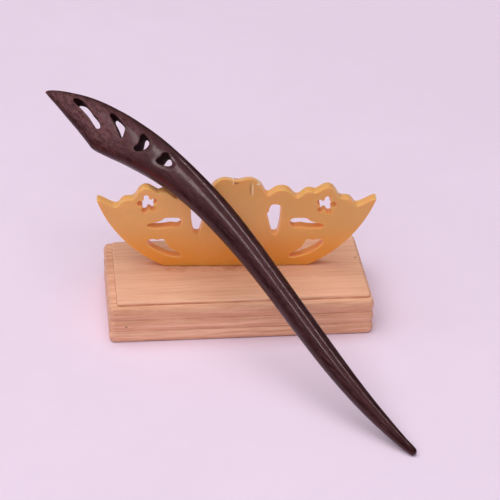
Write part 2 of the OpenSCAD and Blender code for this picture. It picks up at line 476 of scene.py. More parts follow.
def wood_grain_group() -> bpy.types.NodeTree:
    """Grain that runs along local X, for every wooden piece.

    Bands: noise read at a place squeezed along X, so its spots become long
    streaks. Pores: finer streaks cut off above a height. Growth: the sine of
    a depth that slow noise bends. Height: bands less pores.

    Returns:
        The group, with the outputs Bands, Growth, Pores and Height.
    """
    tree, s, given, out = new_group(
        "wood grain",
        {"Place": ("Vector", None), "Streak scale": ("Float", 200.0), "Stretch": ("Float", 0.05),
         "Ring scale": ("Float", 200.0), "Pore scale": ("Float", 1500.0), "Pore share": ("Float", 0.3)},
        {"Bands": "Float", "Growth": "Float", "Pores": "Float", "Height": "Float"})
    squeeze = s.add("CombineXYZ", {"X": given["Stretch"], "Y": 1.0, "Z": 1.0}).outputs[0]
    at = s.add("VectorMath", {0: given["Place"], 1: squeeze}, operation="MULTIPLY").outputs[0]
    bands = s.noise(at, given["Streak scale"], 5.0, 0.62, 0.25)
    slow = s.noise(at, 22.0, 2.0, 0.5)
    parts = s.add("SeparateXYZ", {0: given["Place"]}).outputs
    bend = s.plus(s.times(parts["Z"], 0.55), parts["Y"], s.times(slow, 0.03))
    ring = s.math("SINE", s.times(bend, given["Ring scale"]))
    growth = s.range(ring, -0.2, 1.0)
    fine = s.noise(at, given["Pore scale"], 2.0, 0.6)
    limit = s.math("SUBTRACT", 0.68, s.times(given["Pore share"], 0.2))
    pores = s.math("MULTIPLY", s.math("SUBTRACT", fine, limit), 12.0, clamp=True)
    height = s.math("SUBTRACT", s.times(bands, 0.5), s.times(pores, 0.5))
    for name, value in (("Bands", bands), ("Growth", growth), ("Pores", pores), ("Height", height)):
        s.feed(out[name], value)
    return tree


def handling_group() -> bpy.types.NodeTree:
    """Uneven handling and polish, for every piece.

    Patches: two sizes of cloudy noise. Smudge: the same clouds, eased, for
    roughness. Undulation: slow waves left by hand sanding, as a height.

    Returns:
        The group, with the outputs Patches, Smudge and Undulation.
    """
    tree, s, given, out = new_group(
        "handling and polish",
        {"Place": ("Vector", None), "Patch scale": ("Float", 60.0), "Wave scale": ("Float", 90.0)},
        {"Patches": "Float", "Smudge": "Float", "Undulation": "Float"})
    clouds = s.noise(given["Place"], given["Patch scale"], 4.0, 0.55, 0.3)
    specks = s.noise(given["Place"], s.times(given["Patch scale"], 9.0), 3.0, 0.6)
    patches = s.plus(s.times(clouds, 0.75), s.times(specks, 0.25))
    s.feed(out["Patches"], patches)
    s.feed(out["Smudge"], s.range(patches, 0.38, 0.64))
    s.feed(out["Undulation"], s.noise(given["Place"], given["Wave scale"], 1.0, 0.4))
    return tree


@dataclass(frozen=True)
class SharedGroups:
    """The node groups that more than one material uses."""

    grain: bpy.types.NodeTree
    handling: bpy.types.NodeTree


# ---------------------------------------------------------------- finishes


@dataclass(frozen=True)
class PineFinish:
    """Pale sanded pine of the stand block. Places and heights are in millimetres.

    Early and late are the pale and the darker part of a growth ring, light is
    the colour of paler patches and end_shade that of open pores. step_painted_shade is
    painted shade in the step beside the raised field, and groove_painted_shade painted
    shade in the grooves between the ribs. grime is a painted contact shadow at
    the foot, and stain an amber band before the plate: a glue line, and painted
    glow of light through the resin. A knot is x, y, z and radius. Two marks give
    the ends of a ramp, and four those of a band that rises and then falls.
    """

    early: Rgb = (0.96, 0.56, 0.37)
    late: Rgb = (0.66, 0.29, 0.155)
    light: Rgb = (0.95, 0.57, 0.37)
    end_shade: Rgb = (0.70, 0.36, 0.21)
    step_painted_shade: Rgb = (0.50, 0.19, 0.09)
    groove_painted_shade: Rgb = (0.50, 0.20, 0.10)
    knot_shade: Rgb = (0.27, 0.085, 0.055)
    foot_painted_shadow: Rgb = (0.20, 0.075, 0.07)
    painted_glow_and_glue: Rgb = (0.56, 0.19, 0.08)
    knots: tuple = ((-37.3, -21.9, 5.9, 0.42), (40.2, 4.6, 13.3, 0.5), (14.0, -1.0, 13.3, 0.3),
                    (-6.0, -21.6, 8.3, 0.25))
    field_z: tuple = (12.8, 13.1)
    step_z: tuple = (12.17, 12.27, 12.62, 12.8)
    groove_z: tuple = (11.5, 11.9)
    foot_shadow_z: tuple = (0.08, 0.5)
    glow_and_glue_x: tuple = (-25.0, -22.0, 2.0, 8.0)
    glow_and_glue_y: tuple = (-2.8, -0.4, 1.9, 2.6)
    glow_and_glue_z: tuple = (12.9, 13.2)
    plate_slope: float = 0.0542

    def material(self, groups: SharedGroups, rib: float) -> bpy.types.Material:
        """Build the material.

        Args:
            groups: the shared node groups.
            rib: height of one rib in millimetres.

        Returns:
            The pine material.
        """
        material, s = new_material("pale pine")
        at = s.add("TexCoord").outputs["Object"]
        grain = s.group(groups.grain, {"Place": at, "Streak scale": 900.0, "Stretch": 0.045,
                                       "Ring scale": 900.0, "Pore scale": 4200.0, "Pore share": 0.35})
        worn = s.group(groups.handling, {"Place": at, "Patch scale": 70.0, "Wave scale": 130.0})
        parts = s.add("SeparateXYZ", {0: at}).outputs

        # grain, half as strong on the raised field as on the sides
        calm = s.range_mm(parts["Z"], self.field_z, 1.0, 0.5)
        base = s.mix(s.times(grain["Growth"], s.times(calm, 0.34)), self.early, self.late)
        base = s.mix(s.times(s.range(grain["Bands"], 0.40, 0.64, 0.0, 0.6), calm), base, self.late)
        base = s.mix(s.range(worn["Patches"], 0.46, 0.62, 0.0, 0.25), base, self.light)
        base = s.mix(s.times(grain["Pores"], 0.3), base, self.end_shade)
        fine = s.noise(at, 1900.0, 2.0, 0.7, along=0.05)
        base = s.mix(s.times(s.range(fine, 0.42, 0.68, 0.0, 0.5), calm), base, self.late)

        # painted shade in broken dark lines in the step and in the grooves, and a painted contact shadow at
        # the foot
        dashes = s.range(s.noise(at, 420.0, 2.0, 0.6, along=0.25), 0.35, 0.6, 0.3, 1.0)
        step = s.band(parts["Z"], self.step_z, MM)
        base = s.mix(s.times(step, dashes, 0.7), base, self.step_painted_shade)
        share = s.math("FRACT", s.math("DIVIDE", parts["Z"], rib * MM))
        groove = s.range(s.math("ABSOLUTE", s.math("SUBTRACT", share, 0.5)), 0.41, 0.49)
        groove = s.times(groove, s.range_mm(parts["Z"], self.groove_z, 1.0, 0.0))
        base = s.mix(s.times(groove, dashes, 0.6), base, self.groove_painted_shade)
        # painted contact shadow: darker towards the foot
        base = s.mix(s.range_mm(parts["Z"], self.foot_shadow_z, 0.85, 0.0), base, self.foot_painted_shadow)
        for *centre, size in self.knots:
            apart = s.add("VectorMath", {0: at, 1: [c * MM for c in centre]}, operation="DISTANCE")
            spot = s.range_mm(apart.outputs["Value"], (size * 0.35, size * 1.3), 0.75, 0.0)
            base = s.mix(spot, base, self.knot_shade)

        # glue line and painted glow of light through the resin: a band before the foot of the plate, broken
        # up by noise
        before = s.plus(parts["Y"], s.times(parts["X"], self.plate_slope))
        broken = s.range(s.noise(at, 420.0, 4.0, 0.7, along=0.4), 0.4, 0.62)
        painted_glow_and_glue = s.times(s.band(before, self.glow_and_glue_y, MM), s.band(parts["X"], self.glow_and_glue_x, MM),
                        broken, s.range_mm(parts["Z"], self.glow_and_glue_z), 0.7)
        base = s.mix(painted_glow_and_glue, base, self.painted_glow_and_glue)
        lift = s.plus(s.times(grain["Height"], 0.6), worn["Undulation"])
        s.surface({"Base Color": base, "Roughness": s.range(worn["Smudge"], 0.0, 1.0, 0.5, 0.64),
                   "Specular IOR Level": 0.4}, bump=(0.28, 0.0004, lift))
        return material


@dataclass(frozen=True)
class ResinFinish:
    """Cloudy honey resin of the stand plate, deeper in colour towards its foot.

    Edge is the colour of paler clouds, and also a painted highlight on the
    rounded rims and in the walls of the openings, and glow the light that
    comes through the walls of the openings. Each mark is a small scratch,
    chip or nick, painted as light and dark spots that are partly their own
    colour and partly painted highlights and shade of their edges: x, height
    over the foot, half width and half height in millimetres, and colour. Depth
    is how far light spreads inside.
    """

    upper: Rgb = (0.81, 0.445, 0.138)
    foot: Rgb = (0.90, 0.365, 0.055)
    edge: Rgb = (1.0, 0.51, 0.19)
    glow: Rgb = (0.045, 0.020, 0.013)
    marks: tuple = (
        (4.95, 28.4, 0.32, 2.6, (1.0, 0.80, 0.55)), (4.2, 28.7, 0.35, 2.6, (0.55, 0.24, 0.09)),
        (-0.4, 30.7, 1.0, 0.4, (0.42, 0.18, 0.09)), (-1.35, 30.9, 0.25, 0.9, (1.0, 0.82, 0.6)),
        (7.0, 30.3, 1.0, 0.35, (1.0, 0.90, 0.80)))
    fade: float = 19.0
    depth: float = 3.0

    def material(self, groups: SharedGroups, base_z: float) -> bpy.types.Material:
        """Build the material.

        Args:
            groups: the shared node groups.
            base_z: height of the foot of the plate in millimetres.

        Returns:
            The resin material.
        """
        material, s = new_material("honey resin")
        at = s.add("TexCoord").outputs["Object"]
        worn = s.group(groups.handling, {"Place": at, "Patch scale": 45.0, "Wave scale": 60.0})
        parts = s.add("SeparateXYZ", {0: at}).outputs
        rim = s.add("Attribute", attribute_name="rim").outputs["Fac"]
        base = s.mix(s.range_mm(parts["Z"], (base_z, base_z + self.fade)), self.foot, self.upper)
        base = s.mix(s.range(worn["Patches"], 0.42, 0.66, 0.0, 0.3), base, self.edge)
        # painted highlight: the rounded rims and the walls of the openings lighter
        base = s.mix(s.times(s.math("MINIMUM", rim, 1.0), 0.55), base, self.edge)
        # scratches, chips and a nick as light and dark spots: partly their own colour, partly painted
        # highlights and shade of their edges
        for x, z, wide, high, colour in self.marks:
            middle = (x * MM, 0.0, (base_z + z) * MM)
            off = s.add("VectorMath", {0: at, 1: middle}, operation="SUBTRACT").outputs[0]
            off = s.scaled(off, (1 / (wide * MM), 0.0, 1 / (high * MM)))
            spot = s.add("VectorMath", {0: off}, operation="LENGTH").outputs["Value"]
            base = s.mix(s.range(spot, 0.5, 1.2, 0.75, 0.0), base, colour)
        glow = s.mix(s.range(rim, 1.0, 2.0), (0.0, 0.0, 0.0), self.glow)
        s.surface({"Base Color": base, "Roughness": s.range(worn["Smudge"], 0.0, 1.0, 0.3, 0.44),
                   "Specular IOR Level": 0.5, "Subsurface Weight": 0.6,
                   "Subsurface Radius": (1.0, 0.42, 0.10), "Subsurface Scale": self.depth * MM,
                   "Emission Color": glow, "Emission Strength": 1.0},
                  bump=(0.25, 0.0005, worn["Undulation"]))
        return material


@dataclass(frozen=True)
class HardwoodFinish:
    """Dark oiled hardwood of the stick, with pale, dusted pores and a reddish streak.

    The blade is drier and dustier than the shaft from blade_x on, and its pale
    specks are strongest in the middle of its face, where they are partly dirt
    and partly a painted sheen. The streak lies within streak_x along the stick
    and streak_share across it. Cut is the raw wood in the walls of the slots,
    also darkened there as painted shade. Places along are in millimetres.
    """

    dark: Rgb = (0.021, 0.0056, 0.0060)
    warm: Rgb = (0.052, 0.0155, 0.0160)
    red: Rgb = (0.15, 0.022, 0.016)
    # pale colour of the dirt in the pores and of the blade's specks, which also paint a sheen
    dust_and_sheen: Rgb = (0.19, 0.084, 0.089)
    cut: Rgb = (0.027, 0.0088, 0.0096)
    blade_x: tuple = (128, 154)
    streak_x: tuple = (104, 118, 146, 156)
    streak_share: tuple = (0.62, 0.78, 0.86, 0.95)

    def material(self, groups: SharedGroups) -> bpy.types.Material:
        """Build the material.

        It reads two attributes: the stick's own place in metres, and a mark
        of the share across, the share into a slot's wall, and the side.

        Args:
            groups: the shared node groups.

        Returns:
            The dark wood material.
        """
        material, s = new_material("dark hardwood")
        at = s.add("Attribute", attribute_name="stick_place").outputs["Vector"]
        mark = s.add("Attribute", attribute_name="stick_mark").outputs["Vector"]
        mark = s.add("SeparateXYZ", {0: mark}).outputs
        parts = s.add("SeparateXYZ", {0: at}).outputs
        grain = s.group(groups.grain, {"Place": at, "Streak scale": 950.0, "Stretch": 0.05,
                                       "Ring scale": 2100.0, "Pore scale": 4200.0, "Pore share": 0.5})
        worn = s.group(groups.handling, {"Place": at, "Patch scale": 130.0, "Wave scale": 170.0})
        blade = s.range_mm(parts["X"], self.blade_x)
        speck = s.noise(at, 1000.0, 5.0, 0.75, along=0.45)
        base = s.mix(s.range(grain["Bands"], 0.36, 0.66), self.dark, self.warm)
        base = s.mix(s.times(grain["Growth"], 0.2), base, self.dark)
        base = s.mix(s.range(worn["Patches"], 0.45, 0.68, 0.0, 0.4), base, self.warm)
        base = s.mix(s.times(grain["Pores"], 0.3), base, self.dust_and_sheen)
        base = s.mix(s.range(speck, 0.6, 0.4, 0.0, 0.4), base, self.dark)
        # pale specks on the blade, strongest in the middle of its face: partly dirt, partly a painted sheen
        middle = s.range(s.math("ABSOLUTE", mark["X"]), 0.45, 0.95, 1.0, 0.1)
        dust_and_sheen_share = s.plus(0.04, s.times(blade, middle, 0.92))
        base = s.mix(s.times(s.range(speck, 0.3, 0.7), dust_and_sheen_share), base, self.dust_and_sheen)

        # reddish streak beside the left edge of the blade
        streak = s.times(s.band(mark["X"], self.streak_share), s.band(parts["X"], self.streak_x, MM))
        broken = s.range(s.noise(at, 520.0, 3.0, 0.6, along=0.12), 0.4, 0.58)
        base = s.mix(s.times(streak, broken, 0.4), base, self.red)
        # raw wood in the slot walls, also darker as painted shade in them
        base = s.mix(mark["Y"], base, self.cut)

        rough = s.plus(s.range(worn["Smudge"], 0.0, 1.0, 0.27, 0.37),
                       s.range(speck, 0.35, 0.65, 0.0, 0.12), s.times(blade, 0.14))
        rough = s.math("ADD", rough, s.times(mark["Y"], 0.4), clamp=True)
        lift = s.plus(s.times(grain["Height"], 0.6), s.times(worn["Undulation"], 1.1), s.times(speck, 0.5))
        coat = s.times(s.math("SUBTRACT", 1.0, mark["Y"]), s.range(speck, 0.35, 0.65, 0.26, 0.12),
                       s.math("SUBTRACT", 1.0, s.times(blade, 0.75)))
        s.surface({"Base Color": base, "Roughness": rough, "Specular IOR Level": 0.34,
                   "Specular Tint": (1.0, 0.52, 0.54, 1.0), "Coat Weight": coat, "Coat Roughness": 0.12},
                  bump=(0.35, 0.0003, lift))
        return material


@dataclass(frozen=True)
class FloorFinish:
    """Smooth pale table surface with a pink cast."""

    colour: Rgb = (0.93, 0.785, 0.935)

    def material(self, groups: SharedGroups) -> bpy.types.Material:
        """Build the material, a little paler in patches.

        Args:
            groups: the shared node groups.

        Returns:
            The table's material.
        """
        material, s = new_material("pale table")
        at = s.add("TexCoord").outputs["Object"]
        worn = s.group(groups.handling, {"Place": at, "Patch scale": 9.0, "Wave scale": 30.0})
        pale = tuple(min(1.0, c * 1.02) for c in self.colour)
        base = s.mix(s.range(worn["Patches"], 0.4, 0.6), self.colour, pale)
        s.surface({"Base Color": base, "Roughness": 0.6, "Specular IOR Level": 0.2})
        return material


# ------------------------------------------------------------------- pieces


@dataclass
class StandBlock:
    """Ribbed wooden block under the plate. All sizes are in millimetres.

    The raised field lies field_inset in from the outer wall and slides right
    and back by field_shift. Brow is the radius of its rounded edge, and
    least_corner the smallest corner radius of any ring.
    """

    width: float = 85.5
    depth: float = 43.8
    height: float = 13.3
    field_height: float = 1.1
    field_inset: float = 2.0
    field_shift: tuple = (0.8, 0.5)
    ribs: int = 3
    bulge: float = 0.6
    corner: float = 2.1
    least_corner: float = 1.0
    brow: float = 0.42
    finish: PineFinish = field(default_factory=PineFinish)

    def side_profile(self) -> Array:
        """Profile from the edge of the underside to the edge of the top.

        Each rib is an arc that stands bulge out of its grooves, the ledge on
        the top rib drops a little towards the raised field, the field's edge
        is a quarter circle, and the lowest rib's edge is rounded.

        Returns:
            One row of inset from the outer wall and height for each ring.
        """
        top = self.height - self.field_height
        rib = top / self.ribs
        radius = (rib * rib / 4 + self.bulge ** 2) / (2 * self.bulge)
        z = np.linspace(0.35, top - 0.3, 70)
        off = (z / rib) % 1 - 0.5
        inset = radius - np.sqrt(radius ** 2 - (off * rib) ** 2)
        edge = np.minimum(np.abs(off) * 2, 1.0)
        inset -= 0.10 * np.clip((edge - 0.8) / 0.2, 0, 1) ** 2
        wall = np.stack([inset + 0.02, z], axis=1)
        low = np.array([[1.0, 0.0], [0.74, 0.0], [0.58, 0.05], [0.48, 0.16]])
        far = self.field_inset
        ledge = np.array([[0.50, top - 0.17], [0.64, top - 0.06], [0.82, top - 0.02],
                          [far - 0.3, top - 0.05], [far - 0.12, top - 0.04], [far - 0.06, top + 0.06],
                          [far - 0.02, top + 0.25]])
        turn = np.linspace(0, math.pi / 2, 6)
        brow = np.stack([self.field_inset + self.brow * (1 - np.cos(turn)),
                         self.height - self.brow * (1 - np.sin(turn))], axis=1)
        return np.vstack([low, wall, ledge, brow])

    def plan_ring(self, inset: Array, share: Array) -> tuple[Array, Array]:
        """Points on a rectangle with rounded corners, drawn in by inset.

        Each share of the way round keeps its own corner centre and direction,
        so a point is that centre plus the corner radius less the inset, along
        the direction. Between corners the centre slides along the side. Where
        the inset would leave less than the smallest radius, the centres move
        in instead.

        Args:
            inset: distance in from the outer wall.
            share: share of the way round, from 0 to 1.

        Returns:
            The x and the y of each point.
        """
        a, b = self.width / 2 - self.corner, self.depth / 2 - self.corner
        turn = self.corner * math.pi / 2
        lengths = np.array([2 * a, turn, 2 * b, turn, 2 * a, turn, 2 * b, turn])
        ends = np.concatenate([[0], np.cumsum(lengths)])
        at = share * ends[-1]
        cx = np.interp(at, ends, [-a, a, a, a, a, -a, -a, -a, -a])
        cy = np.interp(at, ends, [-b, -b, -b, b, b, b, b, -b, -b])
        way = np.interp(at, ends, np.radians([-90, -90, 0, 0, 90, 90, 180, 180, 270]))
        extra = np.maximum(inset - self.corner + self.least_corner, 0.0)
        reach = self.corner - inset + extra
        return cx * (1 - extra / a) + reach * np.cos(way), cy * (1 - extra / b) + reach * np.sin(way)

    def ring_shares(self) -> Array:
        """Shares of the way round, close together at the corners.

        Returns:
            The shares in order, from 0 to just under 1.
        """
        a, b = self.width / 2 - self.corner, self.depth / 2 - self.corner
        turn = self.corner * math.pi / 2
        total = 4 * a + 4 * b + 4 * turn
        marks: list[Array] = []
        start = 0.0
        for length, steps in ((2 * a, 60), (turn, 9), (2 * b, 30), (turn, 9)) * 2:
            marks.append(start + np.linspace(0, length, steps, endpoint=False))
            start += length
        return np.concatenate(marks) / total

    def build(self) -> bpy.types.Object:
        """Carry the side profile round the plan and close it with rings that shrink to a point.

        The walls wobble by a few hundredths of a millimetre, as sanded by
        hand. The rings from the ledge inwards slide with the field. Rings on
        the top and the underside are the last ring scaled towards its centre.

        Returns:
            The block.
        """
        profile = self.side_profile()
        share = self.ring_shares()
        inset = profile[:, :1] + 0.0 * share
        z = profile[:, 1:] + 0.0 * share
        wall = np.clip(profile[:, 1:] - 0.3, 0, 1) * np.clip(12.4 - profile[:, 1:], 0, 1)
        wobble = 0.03 + noise_wave(share, 3, 40, 0.03) + noise_wave(share, 4, 14, 0.04)
        inset = inset + wall * wobble[None, :]
        z = z + wall * noise_wave(share, 5, 12, 0.10)[None, :]
        x, y = self.plan_ring(np.maximum(inset, 0.0), np.broadcast_to(share, inset.shape))
        slide = np.clip((profile[:, :1] - 0.82) / (self.field_inset - 1.12), 0, 1) * (profile[:, 1:] > 1.0)
        rings = np.stack([x + slide * self.field_shift[0], y + slide * self.field_shift[1], z], axis=2)
        shrink = np.array([0.985, 0.95, 0.88, 0.75, 0.6, 0.45, 0.3, 0.15, 0.0])[:, None, None]
        level = np.array([0.0, 0.0, 1.0])
        centre = np.array([*self.field_shift, 0.0])
        top = (rings[-1] - centre)[None] * np.maximum(shrink, level) + centre
        base = (rings[0][None] * np.maximum(shrink, level))[::-1]
        sheet = np.concatenate([base, rings, top])
        rows, count = sheet.shape[:2]
        faces = np.concatenate([strip_faces(i * count, (i + 1) * count, count) for i in range(rows - 1)])
        points, joined, _ = weld(sheet.reshape(-1, 3), [faces])
        return mesh_object("ribbed_block", points, joined)

    def dress(self, piece: bpy.types.Object, groups: SharedGroups) -> None:
        """Give the block its finish and its place in the frame.

        Args:
            piece: the mesh object that build made.
            groups: the shared node groups.
        """
        rib = (self.height - self.field_height) / self.ribs
        piece.data.materials.append(self.finish.material(groups, rib))
        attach(piece, "root")
        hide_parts("stand_block")


class OpeningShape(Enum):
    """Kinds of opening in the plate."""

    STAR = "star"
    CLOUD = "cloud"
    LEAF = "leaf"
    CRESCENT = "crescent"


def arc_height(x: Array, cx: float, cz: float, r: float, side: int) -> Array:
    """Height of one half of a circle over x, and no height outside it."""
    inside = r * r - (x - cx) ** 2
    return np.where(inside >= 0, cz + side * np.sqrt(np.maximum(inside, 0)), -side * np.inf)


def line_height(x: Array, corners: list[tuple[float, float]], side: int) -> Array:
    """Height of a bent line over x, and no height beyond its ends."""
    xs, zs = np.array(corners).T
    return np.where((x >= xs[0]) & (x <= xs[-1]), np.interp(x, xs, zs), -side * np.inf)


@dataclass
class StandPlate:
    """Upright pierced plate, in millimetres. Its right half is drawn from the middle outwards.

    The bowl is the x and the height of a circle's middle, and its radius. The
    foot is level to foot_end and bows down by foot_bow, which keeps any three
    of its corners off one line. The star has arms of circles, star_tip in
    radius and star_arm from its middle, round a hole of radius star_hole.
    The two middle lobes lie within crest_end and above crest_foot, and fade
    over crest_fade. The shifts move the openings of both halves the same way.
    """

    thickness: float = 4.0
    front_y: float = 1.7
    base_z: float = 13.4
    turn_deg: float = -3.1
    star_turn_deg: float = -11.0
    star_at: tuple = (28.95, 22.7)
    star_arm: float = 2.4
    star_tip: float = 0.93
    star_hole: float = 1.95
    foot_end: float = 23.5
    foot_bow: float = 0.06
    crest_end: float = 8.2
    crest_foot: float = 28.0
    crest_fade: float = 2.5
    crest_rise: float = 0.62
    rim: float = 0.45
    opening_rim: float = 0.42
    step: float = 0.3
    top_edge: tuple = (
        (0, 31.1), (0.8, 31.15), (1.5, 31.35), (2.2, 31.55), (3, 31.7), (3.8, 31.8), (4.6, 31.75),
        (5.4, 31.5), (6.1, 31.1), (6.8, 30.5), (7.5, 29.75), (8.2, 28.65), (8.8, 27.35),
        (9.3, 26.45), (9.8, 26.15), (10.5, 26.2), (11.2, 26.8), (12, 27.45), (12.8, 27.9),
        (13.6, 28.15), (14.4, 28.22), (15.2, 28.2), (15.9, 28.02), (16.6, 27.65), (17.3, 27.1),
        (18, 26.35), (18.6, 25.6), (19.1, 25.28), (19.6, 25.22), (20.3, 25.5), (21, 26.12),
        (21.8, 26.85), (22.5, 27.32), (23.2, 27.5), (24, 27.5), (24.7, 27.3), (25.4, 26.95),
        (25.8, 27.2), (26.3, 27.55), (27, 27.95), (27.8, 28.52), (28.5, 28.87), (29.3, 29),
        (30, 28.92), (30.8, 28.58), (31.5, 28), (32.2, 27.05), (32.8, 25.85), (33.3, 25.1),
        (33.9, 24.8), (35.2, 24.72), (36.4, 24.6), (37, 24.25), (37.6, 23.55), (38.2, 22.65),
        (38.7, 22.22), (39.3, 22.15), (40.2, 22.45), (41.5, 23.12), (42.8, 23.87), (44, 24.5),
        (44.8, 24.78), (45.4, 24.72))
    bowl: tuple = (5.4, 38.1, 42.2)
    cloud: tuple = (
        (28.75, 14.95), (28.35, 15.5), (27.1, 15.9), (25.5, 16.3), (24.2, 16.85), (23.3, 17.55),
        (22.5, 17.82), (20.6, 17.88), (18.7, 17.75), (17.9, 17.1), (17.6, 16.2), (17.8, 15.3),
        (18.4, 14.75), (19.3, 14.4), (20.3, 14.52), (21.4, 14.62), (22.7, 14.35), (24.5, 14.15),
        (26, 14.12), (27.4, 14.25), (28.45, 14.5))
    leaf: tuple = (
        (12.95, 22.95), (14.15, 22.6), (14.65, 21.9), (14.6, 20.1), (14.5, 17.4), (14.25, 15.2),
        (13.9, 13.1), (13.5, 12.1), (12.9, 11.75), (12.15, 11.8), (11.75, 12.5), (11.3, 14.2),
        (10.7, 16.65), (10.15, 18.4), (9.6, 19.05), (10.05, 19.6), (10.7, 20.35), (11, 21.7),
        (11.6, 22.75))
    crescent: tuple = (
        (28.75, 8.9), (28.3, 9.6), (27.4, 9.9), (26.5, 9.88), (25.55, 9.65), (24.6, 9.85),
        (23.8, 9.95), (23.2, 9.65), (22.8, 8.8), (22.3, 7.9), (21.5, 6.75), (20.4, 5.9),
        (19.3, 5.25), (18.3, 4.6), (17.9, 3.95), (18.1, 3.45), (18.8, 3.3), (20.2, 3.42),
        (22.1, 3.98), (23.8, 4.7), (25.5, 5.65), (27, 6.7), (28.2, 7.85))
    shift: tuple = (0.3, 0.16)
    star_shift: tuple = (0.0, 0.35)
    finish: ResinFinish = field(default_factory=ResinFinish)

    def outline(self) -> Array:
        """Outline of the plate, counter-clockwise.

        Its top is the line through the corners of the top edge, and its
        underside is the arc of the bowl, cut off at the foot.

        Returns:
            The closed loop of x and height.
        """
        x = np.linspace(0, self.top_edge[-1][0], 9000)
        high = line_height(x, list(self.top_edge), 1)
        cx, cz, r = self.bowl
        bow = self.foot_bow * np.clip(1 - (x / self.foot_end) ** 2, 0, 1)
        low = np.maximum(np.where(x < cx, 0, arc_height(x, cx, cz, r, -1)), 0) - bow
        real = np.isfinite(low) & (high >= low)
        x, low, high = x[real], low[real], high[real]
        half = np.vstack([np.stack([x, low], axis=1), np.stack([x, high], axis=1)[::-1]])
        other = half[::-1] * [-1, 1]
        return np.vstack([half, other])

    def opening(self, shape: OpeningShape) -> Array:
        """Outline of one opening of the right half, counter-clockwise and before its shift.

        The star is a radius over angle: round its middle, or round the end
        of the nearest arm. The others are smooth loops through their corners.

        Args:
            shape: the kind of opening.

        Returns:
            The closed loop of x and height.
        """
        if shape is not OpeningShape.STAR:
            return smooth_loop(getattr(self, shape.value), self.step * 0.75, 0.1)
        way = np.linspace(0, 2 * math.pi, 720, endpoint=False)
        arms = np.radians(self.star_turn_deg + 90 + 72 * np.arange(5))[:, None]
        off = way[None] - arms
        inside = self.star_tip ** 2 - (self.star_arm * np.sin(off)) ** 2
        far = self.star_arm * np.cos(off) + np.sqrt(np.maximum(inside, 0))
        far = np.where((inside >= 0) & (np.cos(off) > 0), far, 0)
        reach = np.maximum(self.star_hole, far.max(axis=0))
        star = np.array(self.star_at) + reach[:, None] * np.stack([np.cos(way), np.sin(way)], axis=1)
        return even_loop(star, self.step * 0.75, 0.13)

    def loops(self) -> list[Array]:
        """Closed loops of the plate, evenly spaced and slightly rounded.

        Returns:
            The outer loop counter-clockwise, then every opening clockwise.
        """
        found = [even_loop(self.outline(), self.step, 0.3)]
        for shape in OpeningShape:
            loop = self.opening(shape)
            shift = self.star_shift if shape is OpeningShape.STAR else self.shift
            found += [(loop - shift)[::-1], (loop + shift) * [-1, 1]]
        return found

    def place(self, x: Array, y: Array, z: Array) -> Array:
        """Carry the plate's own x, depth and height to the frame: a turn about Z, then a shift.

        Args:
            x: distance to the right of the plate's middle.
            y: depth behind its front face.
            z: height over its foot.

        Returns:
            The points in the frame.
        """
        turn = math.radians(self.turn_deg)
        return np.stack([x * math.cos(turn) - y * math.sin(turn),
                         x * math.sin(turn) + y * math.cos(turn) + self.front_y,
                         z + self.base_z], axis=-1)

    def rim_profile(self, rim: float) -> Array:
        """Profile from the front face over the edge to the back face.

        A quarter circle, the straight wall and another quarter circle, after
        a ring just inside the face.

        Args:
            rim: radius of the quarter circles.

        Returns:
            One row of inset and depth for each ring.
        """
        turn = np.linspace(0, math.pi / 2, 6)
        front = np.stack([rim * (1 - np.sin(turn)), rim * (1 - np.cos(turn))], axis=1)
        front = np.vstack([[rim + 0.07, 0.0], front])
        return np.vstack([front, front[::-1] * [1, -1] + [0, self.thickness]])

    def crest_lift(self, flat: Array, deep: Array) -> Array:
        """How far the two middle lobes rise at the front and sink at the back.

        The lift fades with the distance from the middle and below the lobes,
        and falls in a straight line from front to back.

        Args:
            flat: x and height of each point.
            deep: depth of each point behind the front face.

        Returns:
            The lift of each point.
        """
        wide = np.clip((self.crest_end - np.abs(flat[..., 0])) / self.crest_fade, 0, 1)
        high = np.clip((flat[..., 1] - self.crest_foot) / self.crest_fade, 0, 1)
        return self.crest_rise * wide * high * (1 - 2 * deep / self.thickness)

    def build(self) -> bpy.types.Object:
        """Carry a rim profile along every loop and fill the two faces between the loops.

        The faces are flat triangles between the innermost rings, which keep
        the shading of the rim off the faces. The attribute rim goes from 0 on
        a face to 1 on the plate's edge, and to 2 in an opening's wall.

        Returns:
            The plate.
        """
        points: list[Array] = []
        faces: list[Array] = []
        marks: list[Array] = []
        inner: list[Array] = []
        fronts: list[Array] = []
        backs: list[Array] = []
        start = 0
        for number, loop in enumerate(self.loops()):
            rim = self.opening_rim if number else self.rim
            profile = self.rim_profile(rim)
            rim_mark = np.clip(1 - profile[:, 0] / rim, 0, 1) * (2 if number else 1)
            normal = loop_normals(loop)
            flat = np.stack([set_in(loop, normal, inset) for inset in profile[:, 0]])
            flat[..., 1] = np.maximum(flat[..., 1], 0.0)
            deep = np.broadcast_to(profile[:, 1:], flat.shape[:2])
            flat[..., 1] += self.crest_lift(flat, deep)
            points.append(self.place(flat[..., 0], deep, flat[..., 1]).reshape(-1, 3))
            marks.append(np.repeat(rim_mark, len(loop)))
            n, rows = len(loop), len(profile)
            faces += [strip_faces(start + (i + 1) * n, start + i * n, n) for i in range(rows - 1)]
            inner.append(flat[0])
            fronts.append(start + np.arange(n))
            backs.append(start + (rows - 1) * n + np.arange(n))
            start += n * rows
        spare = self.face_points(inner)
        tris = fill_between(inner, spare)
        for ids, deep, turn in ((fronts, 0.0, 1), (backs, self.thickness, -1)):
            ids.append(start + np.arange(len(spare)))
            faces.append(np.concatenate(ids)[tris][:, ::turn])
            points.append(self.place(spare[:, 0], np.full(len(spare), deep), spare[:, 1]))
            marks.append(np.zeros(len(spare)))
            start += len(spare)
        joined, lists, kept = weld(np.vstack(points), faces)
        piece = mesh_object("pierced_plate", joined, lists)
        write_attribute(piece, "rim", np.concatenate(marks)[kept])
        return piece

